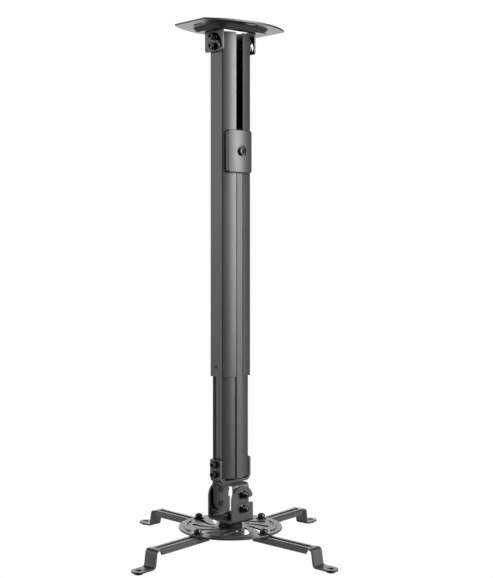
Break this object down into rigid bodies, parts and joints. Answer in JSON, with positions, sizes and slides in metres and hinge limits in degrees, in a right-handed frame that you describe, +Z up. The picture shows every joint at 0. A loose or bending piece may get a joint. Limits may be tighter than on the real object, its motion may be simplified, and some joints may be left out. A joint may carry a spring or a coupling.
{
  "type": "projector mount",
  "caption": "Ceiling mount for a projector: stamped plate, telescopic bowed column with clamp, tilting cradle and slotted disc with swivelling arms.",
  "frame": {"origin": "centre of the ceiling plate's four fixing slots, in the face that lies against the ceiling", "axes": "+Z up into the ceiling, +X right and -Y front, the side with the column's open slot and clamp"},
  "size_m": [0.3141, 0.3141, 0.6026],
  "materials": {
    "black_powder_coat": "satin black powder coat",
    "black_screws": "black oxide, slightly glossy",
    "black_plastic": "matt black"
  },
  "bodies": {
    "ceiling": {"ceiling_plate": "black_powder_coat"},
    "outer": {"outer_column": "black_powder_coat", "stop_screw": "black_screws", "ceiling_pivot_bolts": "black_screws", "ceiling_lock_bolts": "black_screws", "ceiling_bolt_washers": "black_screws", "ceiling_bolt_nuts": "black_screws"},
    "inner": {"inner_column": "black_powder_coat", "clamp_block": "black_powder_coat", "clamp_screw": "black_screws", "clamp_nut": "black_screws", "lower_bracket": "black_powder_coat", "lower_bracket_bolts": "black_screws", "lower_bracket_nuts": "black_screws", "tilt_bracket": "black_powder_coat", "tilt_bracket_bolt": "black_screws", "tilt_bracket_nut": "black_screws", "tilt_pivot_studs": "black_screws", "tilt_lock_studs": "black_screws", "tilt_nuts": "black_screws"},
    "cradle": {"cradle_bracket": "black_powder_coat", "centre_bolt": "black_screws", "centre_washer": "black_screws", "swivel_spacer": "black_plastic", "lower_washer": "black_screws", "centre_nut": "black_screws"},
    "swivel_disc": {"disc": "black_powder_coat"},
    "arm_1_pivot": {"arm_screw_1": "black_screws", "arm_washer_1": "black_screws", "arm_nut_1": "black_screws"},
    "arm_1_strip": {"arm_1": "black_powder_coat"},
    "arm_2_pivot": {"arm_screw_2": "black_screws", "arm_washer_2": "black_screws", "arm_nut_2": "black_screws"},
    "arm_2_strip": {"arm_2": "black_powder_coat"},
    "arm_3_pivot": {"arm_screw_3": "black_screws", "arm_washer_3": "black_screws", "arm_nut_3": "black_screws"},
    "arm_3_strip": {"arm_3": "black_powder_coat"},
    "arm_4_pivot": {"arm_screw_4": "black_screws", "arm_washer_4": "black_screws", "arm_nut_4": "black_screws"},
    "arm_4_strip": {"arm_4": "black_powder_coat"}
  },
  "joints": [
    {"name": "ceiling_tilt", "type": "hinge", "parent": "ceiling", "child": "outer", "pos_m": [0, 0, -0.0246], "axis": [1, 0, 0], "range_deg": [0, 90]},
    {"name": "column_slide", "type": "slide", "parent": "outer", "child": "inner", "axis": [0, 0, -1], "range_m": [-0.086, 0.2]},
    {"name": "cradle_tilt", "type": "hinge", "parent": "inner", "child": "cradle", "pos_m": [0, 0, -0.5386], "axis": [0, 1, 0], "range_deg": [-10, 10]},
    {"name": "disc_swivel", "type": "hinge", "parent": "cradle", "child": "swivel_disc", "pos_m": [0, 0, -0.5792], "axis": [0, 0, 1], "continuous": true},
    {"name": "arm_1_swivel", "type": "hinge", "parent": "swivel_disc", "child": "arm_1_pivot", "pos_m": [0.05253, 0.00423, -0.5792], "axis": [0, 0, 1], "range_deg": [-25, 25]},
    {"name": "arm_1_slide", "type": "slide", "parent": "arm_1_pivot", "child": "arm_1_strip", "axis": [0.986, 0.1668, 0], "range_m": [-0.03, 0]},
    {"name": "arm_2_swivel", "type": "hinge", "parent": "swivel_disc", "child": "arm_2_pivot", "pos_m": [-0.00423, 0.05253, -0.5792], "axis": [0, 0, 1], "range_deg": [-25, 25]},
    {"name": "arm_2_slide", "type": "slide", "parent": "arm_2_pivot", "child": "arm_2_strip", "axis": [-0.0628, 0.998, 0], "range_m": [-0.03, 0]},
    {"name": "arm_3_swivel", "type": "hinge", "parent": "swivel_disc", "child": "arm_3_pivot", "pos_m": [-0.05253, -0.00423, -0.5792], "axis": [0, 0, 1], "range_deg": [-25, 25]},
    {"name": "arm_3_slide", "type": "slide", "parent": "arm_3_pivot", "child": "arm_3_strip", "axis": [-0.9871, -0.1599, 0], "range_m": [-0.03, 0]},
    {"name": "arm_4_swivel", "type": "hinge", "parent": "swivel_disc", "child": "arm_4_pivot", "pos_m": [0.00423, -0.05253, -0.5792], "axis": [0, 0, 1], "range_deg": [-25, 25]},
    {"name": "arm_4_slide", "type": "slide", "parent": "arm_4_pivot", "child": "arm_4_strip", "axis": [0.0924, -0.9957, 0], "range_m": [-0.03, 0]}
  ]
}
